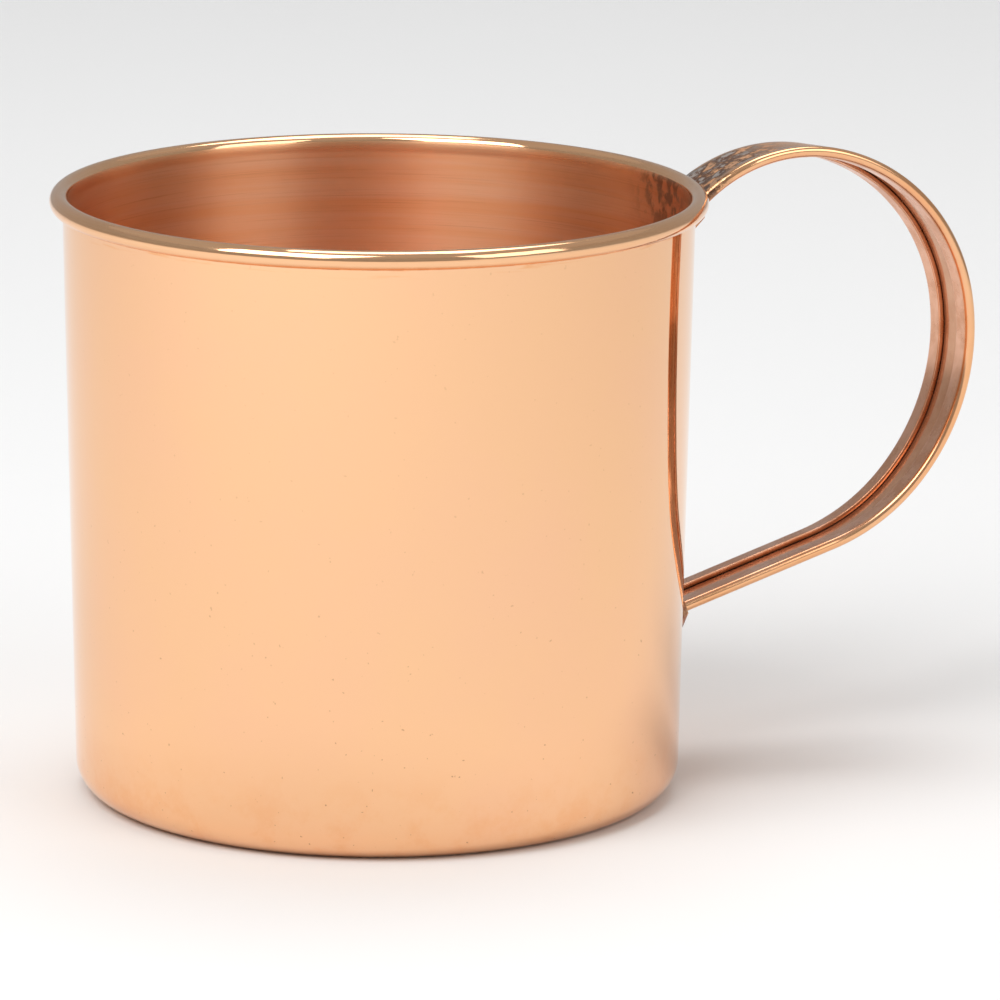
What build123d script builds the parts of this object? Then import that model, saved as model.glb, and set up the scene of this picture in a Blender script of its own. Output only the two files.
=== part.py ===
"""Copper mug: a spun cup with a wired rim and a hemmed strap handle brazed on.

Millimetres, +Z up.  The origin is the centre of the flat base, and the handle
stands out along +X.  Each separate piece of metal is written as one STEP file.
"""
import os
from math import cos, radians, sin, tan

from build123d import *

# ---- cup: one disc of sheet, spun to shape --------------------------------
CUP_HEIGHT = 86.2          # base to the top of the rim
RIM_WALL_RADIUS = 44.5     # outside of the wall just under the rim
WALL_LEAN = 1.05           # degrees that the wall opens towards the rim
CORNER_RADIUS = 4.5        # outside of the turn from base to wall
CUP_SHEET = 0.9

# ---- rim: the sheet is turned outward over a wire -------------------------
RIM_BEAD_DIAMETER = 2.7
RIM_TURN_PAST_BOTTOM = 14  # degrees that the raw edge is tucked in towards the wall
WIRE_CLEARANCE = 0.02

# ---- handle: a strap of sheet with both long edges folded inward ----------
STRAP_WIDTH = 13.2
STRAP_SHEET = 0.8
HEM_WIDTH = 3.7            # how far each folded edge lies over the strap
HEM_ROUND = 0.72           # radius of the fold, seen from outside
STRAP_SLANT = 6.4          # degrees that the strap's far edge dips below its near edge
STRAP_START = (45.35, 81.8)     # outer face, just clear of the wall under the rim
STRAP_START_HEADING = 46.2      # degrees above level, leaving the wall
STRAP_BENDS = (            # radius of the outer face, degrees turned
    (23.7, 58.1),
    (28.2, 68.7),
    (33.2, 49.7),
    (29.8, 31.9),
)
STRAP_TAIL = 26.0          # straight run back to the wall
STRAP_OVERRUN = 4.0        # extra at both ends, cut away along the wall

# ---- brazing --------------------------------------------------------------
BRAZE_FILM = 0.05          # gap between strap end and wall that the braze fills
UPPER_BRAZE_SPREAD = 0.8   # small, to stay clear of the rim
LOWER_BRAZE_SPREAD = 1.8
BRAZE_TAPER = 42           # degrees that the brass falls away towards the strap
BRAZE_ROOT = 3.0           # how far it is drawn inside the wall before it is cut there

# ---- worked out -----------------------------------------------------------
BEAD_RADIUS = RIM_BEAD_DIAMETER / 2
WIRE_SPACE_RADIUS = BEAD_RADIUS - CUP_SHEET
HEM_DEPTH = 2 * STRAP_SHEET
LEAN_SLOPE = tan(radians(WALL_LEAN))
WALL_OUTWARD = Vector(cos(radians(WALL_LEAN)), -sin(radians(WALL_LEAN)))
BEAD_CENTRE = Vector(RIM_WALL_RADIUS + WIRE_SPACE_RADIUS, CUP_HEIGHT - BEAD_RADIUS)
RIM_WALL_TOP = BEAD_CENTRE - WALL_OUTWARD * WIRE_SPACE_RADIUS
STRAP_ACROSS = Vector(0, cos(radians(STRAP_SLANT)), -sin(radians(STRAP_SLANT)))


def wall_radius(height, inset=0.0):
    """Radius at a height of the wall's outer face, or of a line inset from it."""
    rise = height - RIM_WALL_TOP.Y
    return RIM_WALL_TOP.X + rise * LEAN_SLOPE - inset / WALL_OUTWARD.X


def corner_centre():
    """Centre of the turn from base to wall, shared by its two faces."""
    return Vector(wall_radius(CORNER_RADIUS, CORNER_RADIUS), CORNER_RADIUS)


def cup_body():
    """Base, wall and turned rim in one sheet, as a section turned about Z."""
    centre = corner_centre()
    inner_corner = CORNER_RADIUS - CUP_SHEET
    turn = 90 - WALL_LEAN
    wire_side = 180 - WALL_LEAN
    raw_edge = -90 - RIM_TURN_PAST_BOTTOM
    with BuildPart() as cup:
        with BuildSketch(Plane.XZ):
            with BuildLine():
                Line((0, 0), (centre.X, 0))
                outer_turn = CenterArc(centre, CORNER_RADIUS, -90, turn)
                Line(outer_turn @ 1, RIM_WALL_TOP)
                around_wire = CenterArc(BEAD_CENTRE, WIRE_SPACE_RADIUS, wire_side, raw_edge - wire_side)
                over_bead = CenterArc(BEAD_CENTRE, BEAD_RADIUS, wire_side, raw_edge - wire_side)
                Line(around_wire @ 1, over_bead @ 1)
                inner_turn = CenterArc(centre, inner_corner, -90, turn)
                Line(over_bead @ 0, inner_turn @ 1)
                Line(inner_turn @ 0, (0, CUP_SHEET))
                Line((0, CUP_SHEET), (0, 0))
            make_face()
        revolve(axis=Axis.Z)
    return cup.part


def rim_wire():
    """The wire that the rim is turned over, which keeps the lip round and stiff."""
    with BuildPart() as wire:
        with BuildSketch(Plane.XZ):
            with Locations(BEAD_CENTRE):
                Circle(WIRE_SPACE_RADIUS - WIRE_CLEARANCE)
        revolve(axis=Axis.Z)
    return wire.part


def wall_envelope(clearance):
    """The cup's outer form filled solid up to the rim bead, grown by a clearance."""
    top = RIM_WALL_TOP.Y
    with BuildPart() as form:
        with BuildSketch(Plane.XZ):
            Polygon(
                (0, 0),
                (wall_radius(0) + clearance, 0),
                (wall_radius(top) + clearance, top),
                (0, top),
                align=None,
            )
        revolve(axis=Axis.Z)
    return form.part


def strap_run(depth):
    """The strap's side view at a depth below its outer face: lines and arcs, end to end."""
    heading = radians(STRAP_START_HEADING)
    forward = Vector(cos(heading), sin(heading))
    inward = Vector(sin(heading), -cos(heading))
    start = Vector(*STRAP_START) + inward * depth
    run = [Line(start - forward * STRAP_OVERRUN, start)]
    for radius, sweep in STRAP_BENDS:
        last = run[-1]
        run.append(JernArc(last @ 1, last % 1, radius - depth, -sweep))
    last = run[-1]
    run.append(Line(last @ 1, last @ 1 + (last % 1) * (STRAP_TAIL + STRAP_OVERRUN)))
    return run


def strap_layer(outer_depth, inner_depth, near_side, far_side):
    """One layer of the strap, between two depths and two places across its width."""
    outer = strap_run(outer_depth)
    inner = strap_run(inner_depth)
    caps = [
        Line(outer[0] @ 0, inner[0] @ 0),
        Line(outer[-1] @ 1, inner[-1] @ 1),
    ]
    side = Plane.XZ * make_face(outer + inner + caps)
    side = Pos(STRAP_ACROSS * near_side) * side
    return extrude(side, amount=far_side - near_side, dir=STRAP_ACROSS)


def whole_strap():
    """Web and both folded edges, overrunning into the wall at each end."""
    half = STRAP_WIDTH / 2
    web = strap_layer(0, STRAP_SHEET, -half, half)
    near_hem = strap_layer(STRAP_SHEET, HEM_DEPTH, -half, -half + HEM_WIDTH)
    far_hem = strap_layer(STRAP_SHEET, HEM_DEPTH, half - HEM_WIDTH, half)
    strap = web + near_hem + far_hem
    side_y = max(abs(vertex.Y) for vertex in strap.vertices())
    folds = [
        edge
        for edge in strap.edges()
        if abs(edge.center().Y) > side_y - STRAP_SHEET / 2 and edge.length > HEM_DEPTH
    ]
    return fillet(folds, HEM_ROUND)


def handle_strap():
    """The strap, cut to the wall at both ends."""
    trimmed = whole_strap() - wall_envelope(BRAZE_FILM)
    return max(trimmed.solids(), key=lambda solid: solid.volume)


def joint_planes():
    """Section planes where the strap meets the wall, facing away from it: upper, lower."""
    run = strap_run(HEM_DEPTH / 2)
    leaving, returning = run[0], run[-1]
    at_wall = STRAP_TAIL / returning.length
    ends = (
        (leaving @ 1, leaving % 1),
        (returning @ at_wall, (returning % at_wall) * -1),
    )
    return [
        Plane(
            origin=Plane.XZ.from_local_coords(point),
            x_dir=STRAP_ACROSS,
            z_dir=Plane.XZ.from_local_coords(away),
        )
        for point, away in ends
    ]


def braze(joint, spread):
    """Brass run round one end of the strap, thickest against the wall."""
    footprint = RectangleRounded(STRAP_WIDTH + 2 * spread, HEM_DEPTH + 2 * spread, spread)
    collar = joint * (extrude(footprint, spread, taper=BRAZE_TAPER) + extrude(footprint, -BRAZE_ROOT))
    return collar - wall_envelope(0) - whole_strap()


def main():
    """Build every piece, say what it came to, and write one STEP file for each."""
    upper_joint, lower_joint = joint_planes()
    pieces = {
        "cup_body": cup_body(),
        "rim_wire": rim_wire(),
        "handle_strap": handle_strap(),
        "upper_braze": braze(upper_joint, UPPER_BRAZE_SPREAD),
        "lower_braze": braze(lower_joint, LOWER_BRAZE_SPREAD),
    }
    os.makedirs("parts", exist_ok=True)
    for name, piece in pieces.items():
        print(f"{name}: {piece.volume:.1f} mm3, {len(piece.solids())} solid(s), valid {piece.is_valid}")
        export_step(piece, f"parts/{name}.step")


main()
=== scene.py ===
"""Looks for the copper mug: detailed cup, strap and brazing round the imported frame.

Metres in the frame's own axes: origin at the centre of the base, +Z up, the handle
along +X.  Sizes are worked out in millimetres, as the mug was designed, and every
vertex is scaled once, by MM, when its mesh is made.
"""

from math import cos, degrees, hypot, pi, radians, sin, tan

import bpy
from mathutils import Matrix, Vector, noise


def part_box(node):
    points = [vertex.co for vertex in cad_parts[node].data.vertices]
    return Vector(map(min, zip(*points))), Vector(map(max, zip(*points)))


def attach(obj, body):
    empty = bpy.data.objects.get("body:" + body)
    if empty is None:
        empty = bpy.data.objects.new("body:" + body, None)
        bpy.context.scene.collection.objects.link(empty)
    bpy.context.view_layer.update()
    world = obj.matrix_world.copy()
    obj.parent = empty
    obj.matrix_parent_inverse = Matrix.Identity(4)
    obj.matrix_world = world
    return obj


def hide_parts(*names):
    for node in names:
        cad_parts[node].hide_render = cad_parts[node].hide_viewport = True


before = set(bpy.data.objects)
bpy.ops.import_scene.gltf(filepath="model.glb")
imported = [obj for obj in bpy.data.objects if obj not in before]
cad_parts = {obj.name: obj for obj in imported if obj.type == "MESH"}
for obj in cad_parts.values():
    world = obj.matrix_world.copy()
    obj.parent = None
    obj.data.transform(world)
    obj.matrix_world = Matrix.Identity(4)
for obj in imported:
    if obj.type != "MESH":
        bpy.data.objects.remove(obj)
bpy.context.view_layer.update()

MM = 0.001

# ---- the mug's own sizes, in millimetres ----------------------------------
CUP_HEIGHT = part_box("cup_body")[1].z / MM
CUP_SHEET = 0.9
CORNER_RADIUS = 4.5
WALL_LEAN = radians(1.05)
BEAD_RADIUS = 1.35
BEAD_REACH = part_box("cup_body")[1].x / MM       # outermost point of the rim bead
WIRE_SPACE_RADIUS = BEAD_RADIUS - CUP_SHEET
RAW_EDGE_TURN = radians(-104)                   # where the curl of the rim ends, seen from +X
BEAD_R = BEAD_REACH - BEAD_RADIUS               # centre of the bead's section
BEAD_Z = CUP_HEIGHT - BEAD_RADIUS
WALL_TOP_R = BEAD_R - WIRE_SPACE_RADIUS * cos(WALL_LEAN)
WALL_TOP_Z = BEAD_Z + WIRE_SPACE_RADIUS * sin(WALL_LEAN)

STRAP_WIDTH = 13.2
STRAP_SHEET = 0.8
HEM_DEPTH = 2 * STRAP_SHEET
HEM_WIDTH = 3.7
STRAP_SLANT = radians(6.4)
STRAP_START = (45.35, 81.8)
STRAP_START_HEADING = radians(46.2)
STRAP_BENDS = ((23.7, 58.1), (28.2, 68.7), (33.2, 49.7), (29.8, 31.9))
STRAP_TAIL = 26.0
STRAP_ACROSS = Vector((0, cos(STRAP_SLANT), -sin(STRAP_SLANT)))

# ---- the view -------------------------------------------------------------
HANDLE_TURN = radians(21.16)        # the handle points this far behind the picture's right
CAMERA_RISE = radians(13.06)
CAMERA_ROLL = radians(0.44)
CAMERA_DISTANCE = 1000.0
CAMERA_LENS = 253.8                 # for a 36 mm sensor
AIM_ASIDE = 17.26                   # the aim point is right of the cup's axis
AIM_UP = 41.58


def wall_radius(height):
    """Outside radius of the wall at a height, in millimetres."""
    return WALL_TOP_R - (WALL_TOP_Z - height) * tan(WALL_LEAN)


def picture_to_frame(point):
    """A point given with the picture's right as x and into the picture as y, in the mug's frame."""
    x, y, z = point
    return Vector((
        x * cos(HANDLE_TURN) + y * sin(HANDLE_TURN),
        y * cos(HANDLE_TURN) - x * sin(HANDLE_TURN),
        z,
    ))


# ---- small tools ----------------------------------------------------------
def step(value, low, high):
    """0 below low, 1 above high, smooth between."""
    t = min(max((value - low) / (high - low), 0.0), 1.0)
    return t * t * (3 - 2 * t)


# ---- camera ---------------------------------------------------------------
CAMERA_FORWARD = picture_to_frame((0, cos(CAMERA_RISE), -sin(CAMERA_RISE)))
CAMERA_PLACE = picture_to_frame((AIM_ASIDE, 0, AIM_UP)) - CAMERA_FORWARD * CAMERA_DISTANCE


def make_camera():
    """The photograph's camera: long lens, a little above the rim, hardly rolled."""
    right = picture_to_frame((1, 0, 0))
    up = right.cross(CAMERA_FORWARD)
    rolled_right = right * cos(CAMERA_ROLL) + up * sin(CAMERA_ROLL)
    rolled_up = up * cos(CAMERA_ROLL) - right * sin(CAMERA_ROLL)
    data = bpy.data.cameras.new("camera")
    data.lens = CAMERA_LENS
    data.clip_start = 0.02
    data.clip_end = 50
    camera = bpy.data.objects.new("camera", data)
    bpy.context.scene.collection.objects.link(camera)
    turn = Matrix((rolled_right, rolled_up, -CAMERA_FORWARD)).transposed().to_4x4()
    camera.matrix_world = Matrix.Translation(CAMERA_PLACE * MM) @ turn
    bpy.context.scene.camera = camera


make_camera()


# ---- node material helpers ------------------------------------------------
class Nodes:
    """A material's node tree, with short ways to add and join nodes."""

    def __init__(self, name):
        self.material = bpy.data.materials.new(name)
        self.material.use_nodes = True
        self.tree = self.material.node_tree
        self.shader = self.tree.nodes["Principled BSDF"]

    def add(self, kind, inputs=None, **settings):
        """A new node; inputs maps socket names to a constant or another node's socket."""
        node = self.tree.nodes.new(kind)
        for key, value in settings.items():
            setattr(node, key, value)
        self.fill(node, inputs or {})
        return node

    def fill(self, node, inputs):
        """Set or join several of a node's inputs."""
        for key, value in inputs.items():
            if isinstance(value, bpy.types.NodeSocket):
                self.tree.links.new(value, node.inputs[key])
            else:
                node.inputs[key].default_value = value

    def math(self, operation, a, b=0.0, c=0.0):
        """One arithmetic step."""
        node = self.add("ShaderNodeMath", {0: a, 1: b, 2: c}, operation=operation)
        return node.outputs[0]

    def ramp(self, value, low, high, out_low=0.0, out_high=1.0):
        """Value moved smoothly from one range to another."""
        node = self.add(
            "ShaderNodeMapRange",
            {"Value": value, "From Min": low, "From Max": high, "To Min": out_low, "To Max": out_high},
            interpolation_type="SMOOTHSTEP",
        )
        return node.outputs["Result"]

    def mix(self, amount, a, b):
        """Blend two colours."""
        node = self.add("ShaderNodeMix", data_type="RGBA")
        self.fill(node, {0: amount, 6: a, 7: b})
        return node.outputs[2]

    def place(self):
        """Position in the mug's frame, in metres: the object coordinates of a piece at the origin."""
        return self.add("ShaderNodeTexCoord").outputs["Object"]

    def stretched(self, scale):
        """Place, scaled along each axis, so that a noise can run in streaks."""
        node = self.add("ShaderNodeMapping", {"Vector": self.place(), "Scale": scale})
        return node.outputs["Vector"]

    def noise(self, vector, scale, detail=3.0, roughness=0.55, distortion=0.0):
        """Noise from 0 to 1."""
        node = self.add(
            "ShaderNodeTexNoise",
            {"Vector": vector, "Scale": scale, "Detail": detail, "Roughness": roughness,
             "Distortion": distortion},
        )
        return node.outputs["Fac"]

    def attribute(self, name):
        """A value painted on the mesh's points."""
        return self.add("ShaderNodeAttribute", attribute_name=name).outputs["Fac"]

    def near(self, point, full, gone):
        """1 within full of a point, falling to 0 at gone; millimetres."""
        away = self.add(
            "ShaderNodeVectorMath",
            {0: self.place(), 1: Vector(point) * MM},
            operation="DISTANCE",
        ).outputs["Value"]
        return self.ramp(away, full * MM, gone * MM, 1.0, 0.0)

    def bump(self, height, distance):
        """Fine relief; distance is in millimetres."""
        node = self.add("ShaderNodeBump", {"Height": height, "Distance": distance * MM})
        return node.outputs["Normal"]


def wall_point(azimuth, height, out=0.0):
    """A point on the cup's wall; azimuth in degrees, 0 facing the camera and right positive."""
    turn = radians(azimuth)
    reach = wall_radius(height) + out
    return picture_to_frame((reach * sin(turn), -reach * cos(turn), height))


HANDLE_AZIMUTH = 90 + degrees(HANDLE_TURN)
UPPER_JOINT_HEIGHT = 84.0


# ---- materials ------------------------------------------------------------
COPPER = (0.93, 0.555, 0.315, 1)
COPPER_DEEP = (0.88, 0.42, 0.19, 1)
COPPER_PINK = (0.92, 0.50, 0.36, 1)
INSIDE_LIGHT = (0.90, 0.55, 0.34, 1)
INSIDE_GROOVE = (0.52, 0.17, 0.07, 1)
HEAT_BROWN = (0.30, 0.20, 0.13, 1)
TARNISH = (0.30, 0.12, 0.06, 1)
SOLDER_GREY = (0.52, 0.46, 0.42, 1)


def polished_copper():
    """The cup's outside: mirror polish with specks, hairline scratches and patchy painted shade near the
    base.
    """
    n = Nodes("polished_copper")
    cloud = n.noise(n.place(), 38, detail=5)
    streaks = n.noise(n.stretched((60, 60, 900)), 1.0, detail=2)
    specks = n.noise(n.place(), 1500, detail=1)
    patches = n.noise(n.place(), 120, detail=5, roughness=0.7)
    height = n.add("ShaderNodeSeparateXYZ", {0: n.place()}).outputs["Z"]
    low_down = n.ramp(height, 0.0, 0.016, 1.0, 0.0)
    colour = n.mix(n.ramp(cloud, 0.35, 0.75, 0.0, 0.22), COPPER, COPPER_PINK)
    # Patchy deeper copper up to 16 mm above the base is painted shade: the shaded floor beside the base as
    # the mirror wall shows it.
    painted_base_shade = n.math("MULTIPLY", low_down, n.ramp(patches, 0.42, 0.66, 0.0, 0.5))
    colour = n.mix(painted_base_shade, colour, COPPER_DEEP)
    scuffs = n.ramp(n.noise(n.stretched((110, 110, 1800)), 1.0, detail=4, distortion=0.4), 0.52, 0.66)
    by_rim = n.ramp(height, WALL_TOP_Z * MM - 0.0030, WALL_TOP_Z * MM - 0.0016)
    colour = n.mix(n.math("MULTIPLY", n.math("MULTIPLY", scuffs, by_rim), 0.75), colour, COPPER_DEEP)
    speck = n.math("MULTIPLY", n.ramp(specks, 0.745, 0.80), n.ramp(height, 0.0, 0.06, 0.55, 0.15))
    colour = n.mix(speck, colour, TARNISH)
    rough = n.math("ADD", n.ramp(cloud, 0.3, 0.8, 0.02, 0.05), n.math("MULTIPLY", speck, 0.3))
    relief = n.math("ADD", n.math("MULTIPLY", streaks, 0.4), n.noise(n.place(), 260, detail=2))
    n.fill(n.shader, {
        "Base Color": colour, "Metallic": 1.0, "Roughness": rough,
        "Normal": n.bump(relief, 0.003),
    })
    return n.material


def bead_copper():
    """The rim's roll: polished less evenly than the wall, with rubbed lines along it."""
    n = Nodes("bead_copper")
    lines = n.noise(n.stretched((22, 22, 3200)), 1.0, detail=3, roughness=0.65)
    cloud = n.noise(n.place(), 160, detail=4)
    seam = n.attribute("seam")
    ragged = n.ramp(n.noise(n.place(), 420, detail=4), 0.44, 0.60)
    colour = n.mix(n.ramp(lines, 0.35, 0.7, 0.0, 0.35), COPPER, COPPER_DEEP)
    # The roll's underside is painted deeper towards the seam: painted shade under the roll. The ragged
    # light and dark marks at the raw edge are seam marks.
    colour = n.mix(n.ramp(seam, 0.1, 0.5, 0.0, 0.6), colour, (0.78, 0.36, 0.16, 1))
    worn = n.mix(ragged, (0.55, 0.20, 0.09, 1), (0.98, 0.74, 0.56, 1))
    colour = n.mix(n.ramp(seam, 0.70, 0.95, 0.0, 0.9), colour, worn)
    rough = n.math("ADD", n.ramp(cloud, 0.35, 0.75, 0.05, 0.13), n.math("MULTIPLY", seam, 0.12))
    n.fill(n.shader, {
        "Base Color": colour, "Metallic": 1.0, "Roughness": rough,
        "Normal": n.bump(n.math("ADD", lines, n.math("MULTIPLY", ragged, seam)), 0.010),
    })
    return n.material


def brushed_copper():
    """The cup's inside: brushed round and round, duller than the wall, heat-marked by the joint."""
    n = Nodes("brushed_copper")
    rings = n.noise(n.stretched((34, 34, 4200)), 1.0, detail=5, roughness=0.75, distortion=0.25)
    broad = n.noise(n.stretched((14, 14, 420)), 1.0, detail=3)
    cloud = n.noise(n.place(), 55, detail=3)
    height = n.add("ShaderNodeSeparateXYZ", {0: n.place()}).outputs["Z"]
    edge = n.math("MULTIPLY", n.math("SUBTRACT", cloud, 0.5), 1.6 * MM)
    lip = n.ramp(n.math("ADD", height, edge), (CUP_HEIGHT - 3.1) * MM, (CUP_HEIGHT - 2.0) * MM)
    joint = wall_point(HANDLE_AZIMUTH, UPPER_JOINT_HEIGHT, -CUP_SHEET)
    heat = n.math("MULTIPLY", n.near(joint, 3, 12), n.ramp(n.noise(n.place(), 520, detail=4), 0.42, 0.60))
    colour = n.mix(n.ramp(broad, 0.3, 0.7, 0.2, 0.8), COPPER_DEEP, INSIDE_LIGHT)
    colour = n.mix(n.ramp(cloud, 0.4, 0.75, 0.0, 0.25), colour, COPPER_PINK)
    colour = n.mix(n.ramp(rings, 0.5, 0.25, 0.0, 0.35), colour, INSIDE_GROOVE)
    colour = n.mix(lip, colour, n.mix(cloud, COPPER_DEEP, INSIDE_LIGHT))
    colour = n.mix(n.math("MULTIPLY", heat, 0.85), colour, HEAT_BROWN)
    rough = n.math("ADD", n.ramp(lip, 0, 1, 0.34, 0.24), n.math("MULTIPLY", rings, 0.10))
    n.fill(n.shader, {
        "Base Color": colour, "Metallic": 1.0, "Roughness": rough,
        "Anisotropic": 0.8, "Anisotropic Rotation": 0.25,
        "Tangent": n.add("ShaderNodeTangent", direction_type="RADIAL", axis="Z").outputs["Tangent"],
        "Normal": n.bump(rings, 0.012),
    })
    return n.material


def strap_copper():
    """The handle: bright rounded edges, duller face inside, solder and heat marks by the rim."""
    n = Nodes("strap_copper")
    cloud = n.noise(n.place(), 70, detail=4)
    grain = n.noise(n.stretched((300, 1500, 300)), 1.0, detail=3)
    inner = n.attribute("inner_face")
    web = n.attribute("web")
    crevice = n.attribute("crevice")
    along = n.attribute("along_strap")
    blotch = n.noise(n.place(), 440, detail=5, roughness=0.65)
    smear = n.noise(n.place(), 170, detail=5, roughness=0.7)
    edge = n.attribute("edge")
    upper = n.ramp(n.math("MULTIPLY_ADD", smear, 12.0, along), 15.0, 30.0, 1.0, 0.0)
    marks = n.math("MULTIPLY", upper, n.math("SUBTRACT", 1.0, inner))
    clean = n.math("MULTIPLY", edge, n.ramp(n.math("MULTIPLY_ADD", smear, 6.0, along), 7.5, 10.0))
    marks = n.math("MULTIPLY", marks, n.math("SUBTRACT", 1.0, clean))
    colour = n.mix(n.ramp(cloud, 0.3, 0.7, 0.25, 0.75), COPPER, COPPER_DEEP)
    hem = n.mix(n.ramp(smear, 0.35, 0.65), (0.80, 0.43, 0.29, 1), (0.64, 0.30, 0.17, 1))
    colour = n.mix(n.math("MULTIPLY", inner, 0.85), colour, hem)
    dull = n.mix(n.ramp(smear, 0.4, 0.7), (0.66, 0.35, 0.20, 1), (0.56, 0.26, 0.13, 1))
    colour = n.mix(n.math("MULTIPLY", web, 0.95), colour, dull)
    colour = n.mix(n.math("MULTIPLY", marks, n.ramp(blotch, 0.38, 0.5)), colour, (0.20, 0.10, 0.06, 1))
    colour = n.mix(n.math("MULTIPLY", marks, n.ramp(blotch, 0.54, 0.6)), colour, SOLDER_GREY)
    colour = n.mix(n.math("MULTIPLY", marks, n.ramp(smear, 0.60, 0.66)), colour, (0.72, 0.36, 0.21, 1))
    # Near-black in the gap under the hems' raw edges and on the web beside them: partly tarnish, partly
    # painted shade in the gap.
    colour = n.mix(crevice, colour, (0.16, 0.055, 0.03, 1))
    flat = n.math("SUBTRACT", inner, web)
    rough = n.math("ADD", 0.07, n.math("MULTIPLY", flat, n.ramp(smear, 0.35, 0.7, 0.14, 0.26)))
    rough = n.math("ADD", rough, n.math("MULTIPLY", marks, 0.18))
    open_face = n.math("SUBTRACT", 1.0, n.math("MAXIMUM", inner, edge))
    scuffed = n.math("MULTIPLY", n.ramp(along, 14, 44, 1.0, 0.0), open_face)
    rough = n.math("ADD", rough, n.math("MULTIPLY", scuffed, n.ramp(grain, 0.35, 0.65, 0.12, 0.36)))
    rough = n.math("ADD", rough, n.math("MULTIPLY", web, 0.07))
    relief = n.math("ADD", grain, n.math("MULTIPLY", n.math("MULTIPLY", marks, blotch), 6.0))
    n.fill(n.shader, {
        "Base Color": colour, "Metallic": n.ramp(web, 0, 1, 1.0, 0.8), "Roughness": rough,
        "Specular IOR Level": 0.2, "Normal": n.bump(relief, 0.010),
    })
    return n.material


def braze_metal():
    """Filler at the handle's joints: brown-red, dull, with a few bright rubbed places."""
    n = Nodes("braze_metal")
    blotch = n.noise(n.place(), 420, detail=4, roughness=0.6)
    colour = n.mix(n.ramp(blotch, 0.35, 0.6), (0.34, 0.12, 0.06, 1), (0.86, 0.47, 0.25, 1))
    n.fill(n.shader, {
        "Base Color": colour, "Metallic": 1.0, "Roughness": n.ramp(blotch, 0.3, 0.7, 0.4, 0.16),
        "Normal": n.bump(blotch, 0.06),
    })
    return n.material


def wire_copper():
    """The hidden wire in the rim: drawn copper, dull, with lines along its length."""
    n = Nodes("wire_copper")
    lines = n.noise(n.stretched((40, 40, 4000)), 1.0, detail=2)
    n.fill(n.shader, {
        "Base Color": n.mix(lines, COPPER_DEEP, COPPER_PINK), "Metallic": 1.0,
        "Roughness": n.ramp(lines, 0.3, 0.7, 0.3, 0.45), "Normal": n.bump(lines, 0.01),
    })
    return n.material


# ---- meshes ---------------------------------------------------------------
def new_piece(name, points, faces, materials):
    """A smooth mesh piece, points in millimetres, riding on the mug."""
    mesh = bpy.data.meshes.new(name)
    mesh.from_pydata([tuple(Vector(p) * MM) for p in points], [], faces)
    mesh.shade_smooth()
    for material in materials:
        mesh.materials.append(material)
    piece = bpy.data.objects.new(name, mesh)
    bpy.context.scene.collection.objects.link(piece)
    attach(piece, "root")
    return piece


def paint(piece, name, values):
    """Store one value for each point of a piece."""
    attribute = piece.data.attributes.new(name, "FLOAT", "POINT")
    attribute.data.foreach_set("value", values)


def arc(centre, radius, start, end, steps):
    """Points on an arc, both ends included."""
    return [
        (centre[0] + radius * cos(a), centre[1] + radius * sin(a))
        for a in (start + (end - start) * i / steps for i in range(steps + 1))
    ]


def straight(start, end, steps):
    """Points on a line, without its two ends."""
    return [
        tuple(s + (e - s) * i / steps for s, e in zip(start, end))
        for i in range(1, steps)
    ]


def closed_rings(rings, count):
    """Quads between neighbouring rings of count points each."""
    faces = []
    for ring in range(rings - 1):
        for i in range(count):
            j = (i + 1) % count
            faces.append((
                ring * count + i, ring * count + j,
                (ring + 1) * count + j, (ring + 1) * count + i,
            ))
    return faces


CUP_SEGMENTS = 420
WALL_STEPS = 64
CURL_STEPS = 26
HAND_WAVE = 0.035                   # how far hand finishing leaves the wall from a true cone
RAW_EDGE_WANDER = radians(5)


LIP_TURN = radians(138)              # where the rim's roll eases into the inside wall
LIP_SHARE = (pi - WALL_LEAN - LIP_TURN) / (pi - WALL_LEAN - RAW_EDGE_TURN)
LIP_FOOT_Z = CUP_HEIGHT - 2.35
LIP_STEPS = 10


def lip_curve(foot):
    """A smooth curve from the rim's roll down to the inside wall, both ends included."""
    start = Vector((BEAD_R + BEAD_RADIUS * cos(LIP_TURN), BEAD_Z + BEAD_RADIUS * sin(LIP_TURN)))
    end = Vector(foot)
    first = start + Vector((-sin(LIP_TURN), cos(LIP_TURN))) * 0.5
    second = end + Vector((sin(WALL_LEAN), cos(WALL_LEAN))) * 0.55
    points = []
    for i in range(LIP_STEPS + 1):
        t = i / LIP_STEPS
        u = 1 - t
        points.append(tuple(start * u ** 3 + first * 3 * u * u * t + second * 3 * u * t * t + end * t ** 3))
    return points


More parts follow.
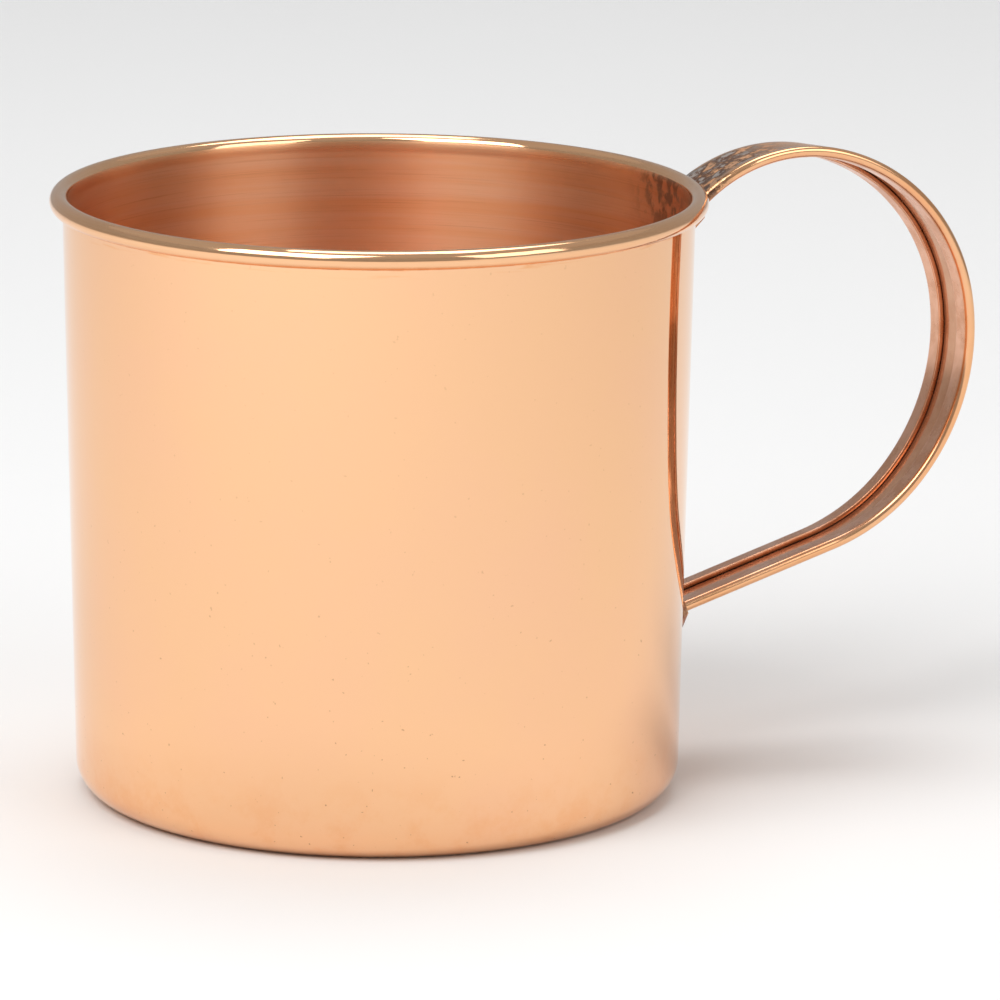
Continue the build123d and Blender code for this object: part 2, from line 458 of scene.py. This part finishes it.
def cup_section():
    """The cup's section from under the base, up the outside, round the rim and down the inside.

    Each entry is radius, height, kind and share; kind says what may wander by hand:
    'wall' moves in and out, 'curl' is placed by its share of the curl.
    """
    centre = (wall_radius(CORNER_RADIUS) - CORNER_RADIUS / cos(WALL_LEAN), CORNER_RADIUS)
    inner = CORNER_RADIUS - CUP_SHEET
    turn = pi / 2 - WALL_LEAN
    section = [(r, z, "base", 0) for r, z in [(2.0, 0)] + straight((2.0, 0), (centre[0], 0), 12)]
    section += [(r, z, "base", 0) for r, z in arc(centre, CORNER_RADIUS, -pi / 2, -pi / 2 + turn, 12)]
    foot = section[-1][:2]
    section += [(r, z, "wall", 0) for r, z in straight(foot, (WALL_TOP_R, WALL_TOP_Z), WALL_STEPS)]
    section += [(WIRE_SPACE_RADIUS, 0, "curl", i / CURL_STEPS) for i in range(CURL_STEPS + 1)]
    section += [(BEAD_RADIUS - 0.07, 0, "curl", 1.0)]
    section += [
        (BEAD_RADIUS, 0, "curl", 1 - i / CURL_STEPS)
        for i in range(CURL_STEPS + 1) if 1 - i / CURL_STEPS > LIP_SHARE
    ]
    inner_arc = arc(centre, inner, -pi / 2 + turn, -pi / 2, 12)
    lip_foot = (wall_radius(LIP_FOOT_Z) - CUP_SHEET, LIP_FOOT_Z)
    section += [(r, z, "lip", 0) for r, z in lip_curve(lip_foot)]
    section += [(r, z, "inside", 0) for r, z in straight(lip_foot, inner_arc[0], WALL_STEPS)]
    section += [(r, z, "inside", 0) for r, z in inner_arc]
    section += [(r, z, "inside", 0) for r, z in straight((centre[0], CUP_SHEET), (2.0, CUP_SHEET), 12)]
    section += [(2.0, CUP_SHEET, "inside", 0)]
    return section


def hand_wave(azimuth, height):
    """How far the wall stands out of true, slow round the cup and slower up it."""
    reach = wall_radius(height)
    wave = noise.noise(Vector((reach * cos(azimuth) / 26, reach * sin(azimuth) / 26, height / 60)))
    ends = min(height / 18, (WALL_TOP_Z - height) / 12, 1.0)
    return HAND_WAVE * wave * max(ends, 0.0)


def cup_ring(entry, azimuths):
    """One ring of the cup from an entry of its section."""
    r, z, kind, share = entry
    ring = []
    for azimuth in azimuths:
        here, up = r, z
        if kind in ("wall", "inside"):
            here = r + hand_wave(azimuth, z)
        if kind == "curl":
            wander = noise.noise(Vector((30 * cos(azimuth), 30 * sin(azimuth), 5.0)))
            end = RAW_EDGE_TURN + RAW_EDGE_WANDER * wander
            angle = pi - WALL_LEAN + (end - pi + WALL_LEAN) * share
            here = BEAD_R + r * cos(angle)
            up = BEAD_Z + r * sin(angle)
        ring.append((here * cos(azimuth), here * sin(azimuth), up))
    return ring


def make_cup():
    """The cup as one closed skin: base, corner, wall, rim turned over its wire, and the inside."""
    azimuths = [2 * pi * i / CUP_SEGMENTS for i in range(CUP_SEGMENTS)]
    section = cup_section()
    points = [p for entry in section for p in cup_ring(entry, azimuths)]
    faces = closed_rings(len(section), CUP_SEGMENTS)
    points += [(0, 0, 0), (0, 0, CUP_SHEET)]
    last_ring = (len(section) - 1) * CUP_SEGMENTS
    for i in range(CUP_SEGMENTS):
        j = (i + 1) % CUP_SEGMENTS
        faces.append((len(points) - 2, j, i))
        faces.append((len(points) - 1, last_ring + i, last_ring + j))
    looks = [polished_copper(), brushed_copper(), bead_copper()]
    cup = new_piece("cup_shell", points, faces, looks)
    kinds = [kind for _, _, kind, _ in section]
    first_curl, first_lip = kinds.index("curl"), kinds.index("lip")
    for face in cup.data.polygons:
        ring = min(face.vertices) // CUP_SEGMENTS
        if ring >= first_curl:
            face.material_index = 2 if ring < first_lip + 3 else 1
    seam = [step(share, 0.66, 0.92) if kind == "curl" else 0.0 for _, _, kind, share in section]
    seam = [value for value in seam for _ in range(CUP_SEGMENTS)] + [0.0, 0.0]
    paint(cup, "seam", seam)
    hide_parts("cup_body")
    return cup


def strap_path(step):
    """Outer face of the strap seen from the side: place, heading and distance along, as arcs and a line."""
    x, z = STRAP_START
    heading = STRAP_START_HEADING
    travelled = 0.0
    stations = [(x, z, heading, travelled)]
    for radius, sweep in STRAP_BENDS:
        turn = radians(sweep)
        count = max(2, round(radius * turn / step))
        for i in range(count):
            chord = 2 * radius * sin(turn / count / 2)
            heading -= turn / count / 2
            x += chord * cos(heading)
            z += chord * sin(heading)
            heading -= turn / count / 2
            travelled += radius * turn / count
            stations.append((x, z, heading, travelled))
    count = round(STRAP_TAIL / step)
    for i in range(count):
        x += STRAP_TAIL / count * cos(heading)
        z += STRAP_TAIL / count * sin(heading)
        travelled += STRAP_TAIL / count
        stations.append((x, z, heading, travelled))
    return stations


EDGE_ROUND = 0.20
CREVICE_HEIGHT = 0.06
CREVICE_REACH = 0.8
HEM_FACE_STEPS = 8
WEB_STEPS = 10
FACE_STEPS = 22
FOLD_STEPS = 12


def half_section():
    """One half of the strap's section, from the middle of the outer face round the fold to the web.

    Each entry is distance from the middle, depth from the outer face, how much it belongs to
    the inside (1 on the hems, 2 on the web between them) and crevice: how dark the gap under
    the hems is painted, partly tarnish and partly painted shade.
    """
    half = STRAP_WIDTH / 2
    fold = half - STRAP_SHEET
    raw = half - HEM_WIDTH
    under = STRAP_SHEET + CREVICE_HEIGHT
    outer = [(fold * i / FACE_STEPS, 0, 0, 0) for i in range(FACE_STEPS)]
    for i in range(FOLD_STEPS + 1):
        angle = -pi / 2 + pi * i / FOLD_STEPS
        outer.append((
            fold + STRAP_SHEET * cos(angle), STRAP_SHEET + STRAP_SHEET * sin(angle),
            max(0.0, sin(angle)) ** 2, 0,
        ))
    hem = [
        (fold + (raw + EDGE_ROUND - fold) * i / HEM_FACE_STEPS, HEM_DEPTH, 1, 0)
        for i in range(1, HEM_FACE_STEPS + 1)
    ]
    corner = arc((raw + EDGE_ROUND, HEM_DEPTH - EDGE_ROUND), EDGE_ROUND, pi / 2, pi, 6)
    hem += [(a, d, 1, 0.0) for a, d in corner[1:]]
    hem += [(raw, under + 0.06, 1, 0.3)]
    hem += [(raw + 0.06, under, 1, 1), (raw + CREVICE_REACH, under, 1, 1)]
    hem += [(raw + CREVICE_REACH, STRAP_SHEET, 1, 1), (raw + 0.15, STRAP_SHEET, 1, 1)]
    hem += [(raw - 0.02, STRAP_SHEET, 2, 0.6), (raw - 0.22, STRAP_SHEET, 2, 0)]
    web = [((raw - 0.7) * (1 - i / WEB_STEPS), STRAP_SHEET, 2, 0) for i in range(WEB_STEPS)]
    return outer + hem + web


def strap_section():
    """The whole section as a closed loop, without repeating the two middle points."""
    right = half_section()
    middle_in = (0, STRAP_SHEET, 2, 0)
    left = [(-a, d, i, c) for a, d, i, c in right[1:]]
    return right + [middle_in] + left[::-1]


END_SINK = 0.12                     # how far the strap's ends go into the wall, inside the brazing
STATION_SPACING = 0.6               # between sections along the strap


def onto_wall(point, direction):
    """The point slid along a direction until it is just inside the cup's wall."""
    reached = Vector(point)
    for _ in range(30):
        gap = hypot(reached.x, reached.y) - (wall_radius(reached.z) - END_SINK)
        reached += direction * gap
    return reached


def make_strap():
    """The handle: a strip with both edges folded in, bent to its loop and cut to the wall."""
    section = strap_section()
    stations = strap_path(STATION_SPACING)
    points, inner, crevice, along, edge = [], [], [], [], []
    fold = STRAP_WIDTH / 2 - STRAP_SHEET
    for number, (x, z, heading, travelled) in enumerate(stations):
        inward = Vector((sin(heading), 0, -cos(heading)))
        forward = Vector((cos(heading), 0, sin(heading)))
        for a, d, i, c in section:
            point = Vector((x, 0, z)) + inward * d + STRAP_ACROSS * a
            if number == 0:
                point = onto_wall(point, -forward)
            if number == len(stations) - 1:
                point = onto_wall(point, forward)
            points.append(point)
            inner.append(i)
            crevice.append(c)
            along.append(travelled)
            edge.append(step(abs(a), fold - 1.3, fold - 0.2) if i < 1 else 0.0)
    faces = closed_rings(len(stations), len(section))
    faces.append(tuple(range(len(section)))[::-1])
    faces.append(tuple(range(len(points) - len(section), len(points))))
    strap = new_piece("handle", points, faces, [strap_copper()])
    paint(strap, "inner_face", [min(value, 1) for value in inner])
    paint(strap, "web", [max(value - 1, 0) for value in inner])
    paint(strap, "crevice", crevice)
    paint(strap, "along_strap", along)
    paint(strap, "edge", edge)
    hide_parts("handle_strap")
    return strap


make_cup()
make_strap()
WIRE = wire_copper()
BRAZE = braze_metal()
for node, look in (("rim_wire", WIRE), ("upper_braze", BRAZE), ("lower_braze", BRAZE)):
    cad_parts[node].data.materials.clear()
    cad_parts[node].data.materials.append(look)


# ---- the studio -----------------------------------------------------------
FLOOR_COLOUR = (0.86, 0.86, 0.86, 1)


def lathe_stage(name, outline, segments, material):
    """A surface of revolution that is part of the studio, outline in metres."""
    points, faces = [], []
    for r, z in outline:
        for i in range(segments):
            turn = 2 * pi * i / segments
            points.append((r * cos(turn), r * sin(turn), z))
    mesh = bpy.data.meshes.new(name)
    mesh.from_pydata(points, [], closed_rings(len(outline), segments))
    mesh.shade_smooth()
    mesh.materials.append(material)
    thing = bpy.data.objects.new(name, mesh)
    bpy.context.scene.collection.objects.link(thing)
    return thing


def make_floor():
    """Pale seamless floor that curves up far behind."""
    n = Nodes("floor_paper")
    n.fill(n.shader, {"Base Color": FLOOR_COLOUR, "Roughness": 0.9, "Specular IOR Level": 0.0})
    outline = [(0.001, 0), (0.3, 0), (1.0, 0), (3.0, 0)]
    outline += arc((3.0, 1.2), 1.2, -pi / 2, 0, 16)[1:] + [(4.2, 3.0)]
    return lathe_stage("floor", outline, 96, n.material)


WORLD_STRENGTH = 0.46


def make_world():
    """Even pale light all round."""
    world = bpy.data.worlds.new("studio")
    world.use_nodes = True
    bpy.context.scene.world = world
    background = world.node_tree.nodes["Background"]
    background.inputs["Color"].default_value = (1, 1, 1, 1)
    background.inputs["Strength"].default_value = WORLD_STRENGTH


def soft_box(name, turn, rise, away, across, power):
    """A square soft light aimed at the mug: degrees right of the camera, degrees up, metres, watts."""
    data = bpy.data.lights.new(name, "AREA")
    data.size = across
    data.energy = power
    light = bpy.data.objects.new(name, data)
    bpy.context.scene.collection.objects.link(light)
    side, up = radians(turn), radians(rise)
    aim = Vector((0, 0, CUP_HEIGHT / 2 * MM))
    source = picture_to_frame((sin(side) * cos(up), -cos(side) * cos(up), sin(up))) * away
    light.location = aim + source
    light.rotation_mode = "QUATERNION"
    light.rotation_quaternion = (-source).to_track_quat("-Z", "Y")


make_floor()
make_world()
soft_box("key", -38, 48, 1.3, 0.9, 11.0)
soft_box("fill", 52, 30, 1.6, 0.9, 5.0)
soft_box("top", 165, 72, 1.4, 0.8, 6.0)

bpy.context.scene.view_settings.view_transform = "Standard"
